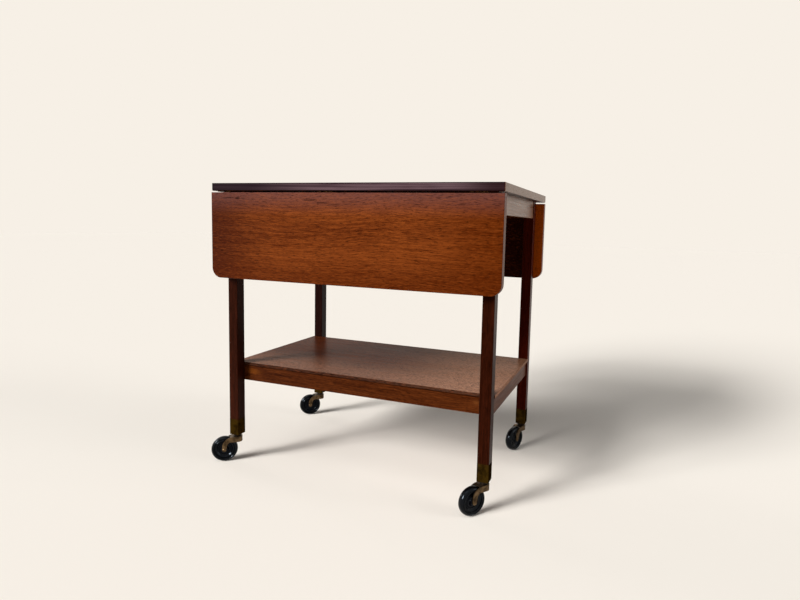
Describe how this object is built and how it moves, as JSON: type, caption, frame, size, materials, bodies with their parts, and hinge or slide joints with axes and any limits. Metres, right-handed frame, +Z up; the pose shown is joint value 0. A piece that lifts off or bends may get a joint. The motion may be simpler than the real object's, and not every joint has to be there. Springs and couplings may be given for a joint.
{
  "type": "drop leaf tea trolley",
  "caption": "Small rectangular teak tea trolley with a fixed top, hinged drop leaves on its long sides, a low shelf and swivelling brass castors.",
  "frame": {"origin": "on the floor, under the middle of the fixed table top", "axes": "+X along the long front edge to the right, -Y towards the front leaf, +Z up; the leaves hang at rest"},
  "size_m": [0.7319, 0.4798, 0.69],
  "materials": {
    "top_teak": "satin oiled teak, fine grain along the length",
    "leaf_teak": "satin oiled teak, fine grain along the length",
    "leg_teak": "satin oiled teak, grain up the leg",
    "rail_teak": "satin oiled teak, grain along the rail",
    "shelf_teak": "satin oiled teak, grain along the length",
    "shelf_rail_teak": "satin oiled teak, grain along the rail",
    "block_wood": "raw sawn hardwood",
    "dowel_wood": "raw turned hardwood",
    "cup_brass": "aged satin brass",
    "fork_brass": "aged brass, worn brighter at the edges",
    "hinge_brass": "aged satin brass",
    "screw_steel": "dull steel",
    "support_steel": "dull steel strip",
    "ring_steel": "dull greased steel",
    "axle_steel": "dull steel, riveted ends",
    "tyre_rubber": "smooth hard rubber with fine turned rings",
    "wheel_plastic": "smooth moulded disc"
  },
  "bodies": {
    "trolley_frame": {"table_top": "top_teak", "top_fixing_screws": "screw_steel", "apron_corner_blocks": "block_wood", "top_frame_dowels": "dowel_wood", "front_top_rail": "rail_teak", "rear_top_rail": "rail_teak", "left_top_rail": "rail_teak", "right_top_rail": "rail_teak", "shelf_panel": "shelf_teak", "front_shelf_rail": "shelf_rail_teak", "rear_shelf_rail": "shelf_rail_teak", "left_shelf_rail": "shelf_rail_teak", "right_shelf_rail": "shelf_rail_teak", "shelf_frame_dowels": "dowel_wood", "hinge_pins": "hinge_brass", "hinge_top_screws": "screw_steel", "hinge_top_flaps": "hinge_brass", "support_pivot_screws": "screw_steel", "castor_cup_pins": "cup_brass", "castor_swivel_rings": "ring_steel", "front_left_leg": "leg_teak", "front_right_leg": "leg_teak", "rear_left_leg": "leg_teak", "rear_right_leg": "leg_teak", "front_left_castor_cup": "cup_brass", "front_right_castor_cup": "cup_brass", "rear_left_castor_cup": "cup_brass", "rear_right_castor_cup": "cup_brass"},
    "front_leaf": {"front_leaf": "leaf_teak", "front_leaf_hinge_flaps": "hinge_brass", "front_leaf_hinge_screws": "screw_steel"},
    "rear_leaf": {"rear_leaf": "leaf_teak", "rear_leaf_hinge_flaps": "hinge_brass", "rear_leaf_hinge_screws": "screw_steel"},
    "front_left_leaf_support": {"front_left_leaf_support": "support_steel"},
    "front_right_leaf_support": {"front_right_leaf_support": "support_steel"},
    "rear_left_leaf_support": {"rear_left_leaf_support": "support_steel"},
    "rear_right_leaf_support": {"rear_right_leaf_support": "support_steel"},
    "front_left_castor": {"front_left_castor_fork": "fork_brass", "front_left_castor_stem": "ring_steel", "front_left_wheel_axle": "axle_steel"},
    "front_left_wheel": {"front_left_wheel_tyre": "tyre_rubber", "front_left_wheel_centre": "wheel_plastic"},
    "front_right_castor": {"front_right_castor_fork": "fork_brass", "front_right_castor_stem": "ring_steel", "front_right_wheel_axle": "axle_steel"},
    "front_right_wheel": {"front_right_wheel_tyre": "tyre_rubber", "front_right_wheel_centre": "wheel_plastic"},
    "rear_left_castor": {"rear_left_castor_fork": "fork_brass", "rear_left_castor_stem": "ring_steel", "rear_left_wheel_axle": "axle_steel"},
    "rear_left_wheel": {"rear_left_wheel_tyre": "tyre_rubber", "rear_left_wheel_centre": "wheel_plastic"},
    "rear_right_castor": {"rear_right_castor_fork": "fork_brass", "rear_right_castor_stem": "ring_steel", "rear_right_wheel_axle": "axle_steel"},
    "rear_right_wheel": {"rear_right_wheel_tyre": "tyre_rubber", "rear_right_wheel_centre": "wheel_plastic"}
  },
  "joints": [
    {"name": "front_leaf_hinge", "type": "hinge", "parent": "trolley_frame", "child": "front_leaf", "pos_m": [0, -0.225, 0.68], "axis": [-1, 0, 0], "range_deg": [0, 90]},
    {"name": "rear_leaf_hinge", "type": "hinge", "parent": "trolley_frame", "child": "rear_leaf", "pos_m": [0, 0.225, 0.68], "axis": [1, 0, 0], "range_deg": [0, 90]},
    {"name": "front_left_support_swing", "type": "hinge", "parent": "trolley_frame", "child": "front_left_leaf_support", "pos_m": [-0.2, -0.205, 0.6704], "axis": [0, 0, -1], "range_deg": [0, 90]},
    {"name": "front_right_support_swing", "type": "hinge", "parent": "trolley_frame", "child": "front_right_leaf_support", "pos_m": [0.2, -0.205, 0.6704], "axis": [0, 0, 1], "range_deg": [0, 90]},
    {"name": "rear_left_support_swing", "type": "hinge", "parent": "trolley_frame", "child": "rear_left_leaf_support", "pos_m": [-0.2, 0.205, 0.6704], "axis": [0, 0, 1], "range_deg": [0, 90]},
    {"name": "rear_right_support_swing", "type": "hinge", "parent": "trolley_frame", "child": "rear_right_leaf_support", "pos_m": [0.2, 0.205, 0.6704], "axis": [0, 0, -1], "range_deg": [0, 90]},
    {"name": "front_left_castor_swivel", "type": "hinge", "parent": "trolley_frame", "child": "front_left_castor", "pos_m": [-0.322, -0.191, 0.069], "axis": [0, 0, 1], "continuous": true},
    {"name": "front_left_wheel_spin", "type": "hinge", "parent": "front_left_castor", "child": "front_left_wheel", "pos_m": [-0.34739, -0.20878, 0.0315], "axis": [0.5736, -0.8192, 0], "continuous": true},
    {"name": "front_right_castor_swivel", "type": "hinge", "parent": "trolley_frame", "child": "front_right_castor", "pos_m": [0.322, -0.191, 0.069], "axis": [0, 0, 1], "continuous": true},
    {"name": "front_right_wheel_spin", "type": "hinge", "parent": "front_right_castor", "child": "front_right_wheel", "pos_m": [0.30334, -0.21576, 0.0315], "axis": [0.7986, -0.6018, 0], "continuous": true},
    {"name": "rear_left_castor_swivel", "type": "hinge", "parent": "trolley_frame", "child": "rear_left_castor", "pos_m": [-0.322, 0.191, 0.069], "axis": [0, 0, 1], "continuous": true},
    {"name": "rear_left_wheel_spin", "type": "hinge", "parent": "rear_left_castor", "child": "rear_left_wheel", "pos_m": [-0.34643, 0.17191, 0.0315], "axis": [0.6157, -0.788, 0], "continuous": true},
    {"name": "rear_right_castor_swivel", "type": "hinge", "parent": "trolley_frame", "child": "rear_right_castor", "pos_m": [0.322, 0.191, 0.069], "axis": [0, 0, 1], "continuous": true},
    {"name": "rear_right_wheel_spin", "type": "hinge", "parent": "rear_right_castor", "child": "rear_right_wheel", "pos_m": [0.30989, 0.16246, 0.0315], "axis": [0.9205, -0.3907, 0], "continuous": true}
  ]
}
